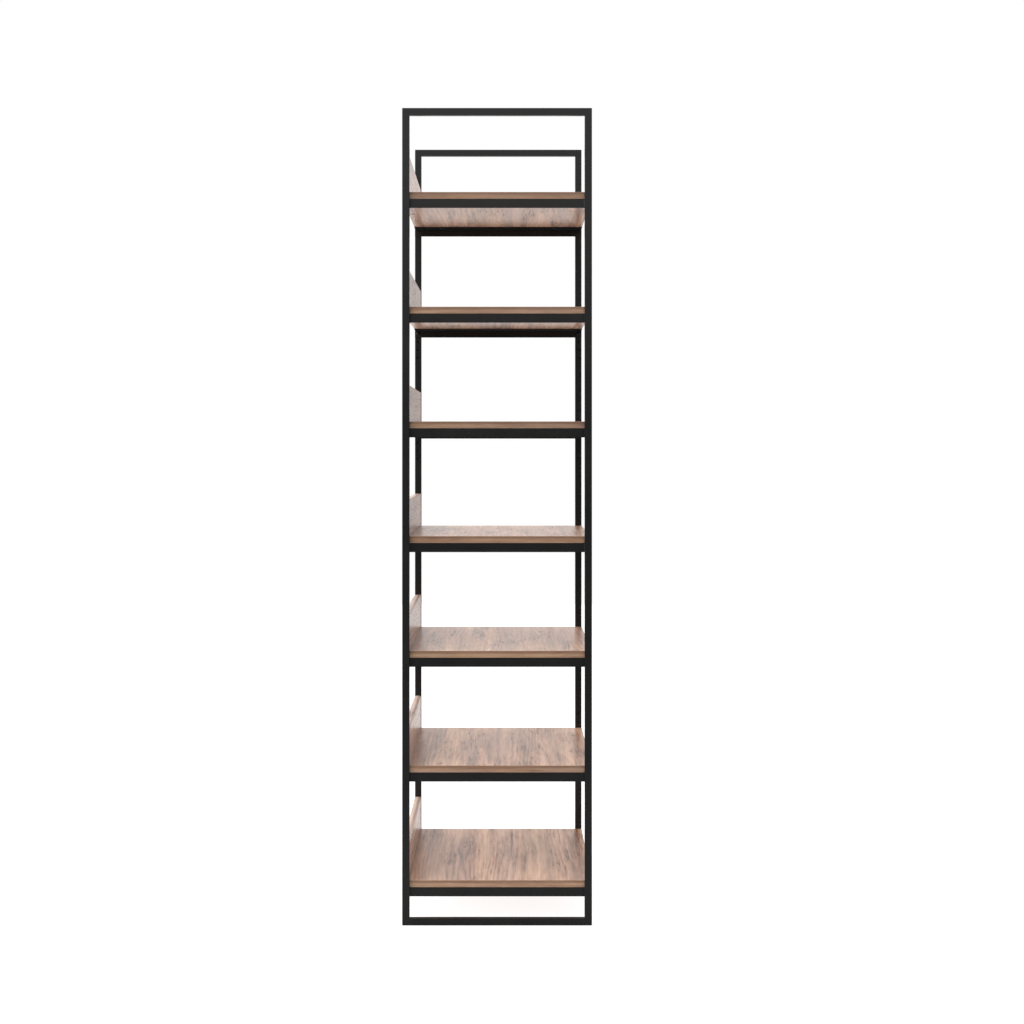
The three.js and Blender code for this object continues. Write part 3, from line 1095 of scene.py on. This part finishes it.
def studio_world():
    """A white studio, which the camera sees as plain white. Its light is brightest on the
    left, and stronger below the horizon, and high in front and behind, than level with the
    object. It is dim at eye level in front."""
    world = bpy.data.worlds.new("studio")
    bpy.context.scene.world = world
    world.use_nodes = True
    tree = world.node_tree
    tree.nodes.clear()
    split = tree.nodes.new("ShaderNodeSeparateXYZ")
    tree.links.new(tree.nodes.new("ShaderNodeTexCoord").outputs["Generated"], split.inputs[0])
    x, y, z = split.outputs
    frontness = ease(tree, y, -0.80, -0.05, 1.0, 0.0)
    below = ease(tree, z, -0.50, 0.0, 0.72, 1.0)
    low_down = calc(tree, "MULTIPLY", ease(tree, z, 0.0, 0.34, 1.0, 0.0), below)
    at_eye_level = calc(tree, "MULTIPLY", frontness, low_down)
    dimmed = calc(tree, "MULTIPLY", at_eye_level, WORLD_EYE_LEVEL_LOSS)
    on_left = calc(
        tree, "MULTIPLY",
        ease(tree, x, -0.30, -0.85, 0.0, 1.0), ease(tree, z, -0.05, 0.20),
    )
    high_behind = calc(tree, "MULTIPLY", ease(tree, y, 0.60, 0.92), ease(tree, z, 0.08, 0.24))
    high_front = calc(tree, "MULTIPLY", frontness, ease(tree, z, 0.02, 0.32))
    strength = calc(tree, "MULTIPLY_ADD", x, WORLD_SLOPE_IN_X, WORLD_LEVEL)
    for part, added in (
        (on_left, WORLD_LEFT), (high_behind, WORLD_HIGH_BEHIND), (high_front, WORLD_HIGH_FRONT),
    ):
        strength = calc(tree, "MULTIPLY_ADD", part, added, strength)
    from_below = ease(tree, z, -0.28, -0.02, WORLD_BELOW, 1.0)
    strength = calc(tree, "MULTIPLY", strength, from_below)
    level = calc(tree, "MULTIPLY", calc(tree, "SUBTRACT", 1.0, dimmed), strength)
    lit = tree.nodes.new("ShaderNodeBackground")
    connect(tree, level, lit.inputs["Strength"])
    seen = tree.nodes.new("ShaderNodeBackground")
    seen.inputs["Color"].default_value = (1.0, 1.0, 1.0, 1.0)
    lit.inputs["Color"].default_value = (1.0, 1.0, 1.0, 1.0)
    mixed = tree.nodes.new("ShaderNodeMixShader")
    tree.links.new(tree.nodes.new("ShaderNodeLightPath").outputs["Is Camera Ray"], mixed.inputs[0])
    tree.links.new(lit.outputs[0], mixed.inputs[1])
    tree.links.new(seen.outputs[0], mixed.inputs[2])
    output = tree.nodes.new("ShaderNodeOutputWorld")
    tree.links.new(mixed.outputs[0], output.inputs["Surface"])


def camera():
    """In front, just below the fifth shelf, looking straight back along Y. The shift
    centres the object, whose middle is lower than the camera."""
    data = bpy.data.cameras.new("camera")
    data.sensor_width = CAMERA_SENSOR_MM
    data.lens = CAMERA_LENS_MM
    data.shift_x, data.shift_y = CAMERA_SHIFT
    data.clip_end = CAMERA_REACH
    made = bpy.data.objects.new("camera", data)
    bpy.context.scene.collection.objects.link(made)
    made.location = (CAMERA_X, cad_box[0][1] - CAMERA_DISTANCE, CAMERA_HEIGHT)
    made.rotation_euler = (math.pi / 2, 0.0, 0.0)
    bpy.context.scene.camera = made


camera()
studio_world()
studio_floor()
soft_box("key", place=(-3.0, -1.2, 3.4), target=(0.0, 0.0, 1.1), size=(1.8, 1.8), power=40.0)
soft_box("top", place=(0.0, 0.2, 4.2), target=(0.0, 0.0, 0.9), size=(2.4, 2.4), power=60.0)
bpy.context.scene.view_settings.view_transform = "Standard"

for where in ENDS:
    for part in ("left_upright", "right_upright", "top_rail", "bottom_rail"):
        frame_bar(f"{where}_{part}")
    for level in ("bottom", "top"):
        for side in SIDES:
            mitre_weld(where, side, level)
for number in SHELF_NUMBERS:
    board(number)
    side_panel(number)
    board_screws(number)
    panel_screw_caps(number)
    for where in ENDS:
        shelf_angle(number, where)
        if number in ADJUSTABLE:
            for side in SIDES:
                button_bolt(number, where, side)
    if number in FIXED:
        shelf_welds(number)
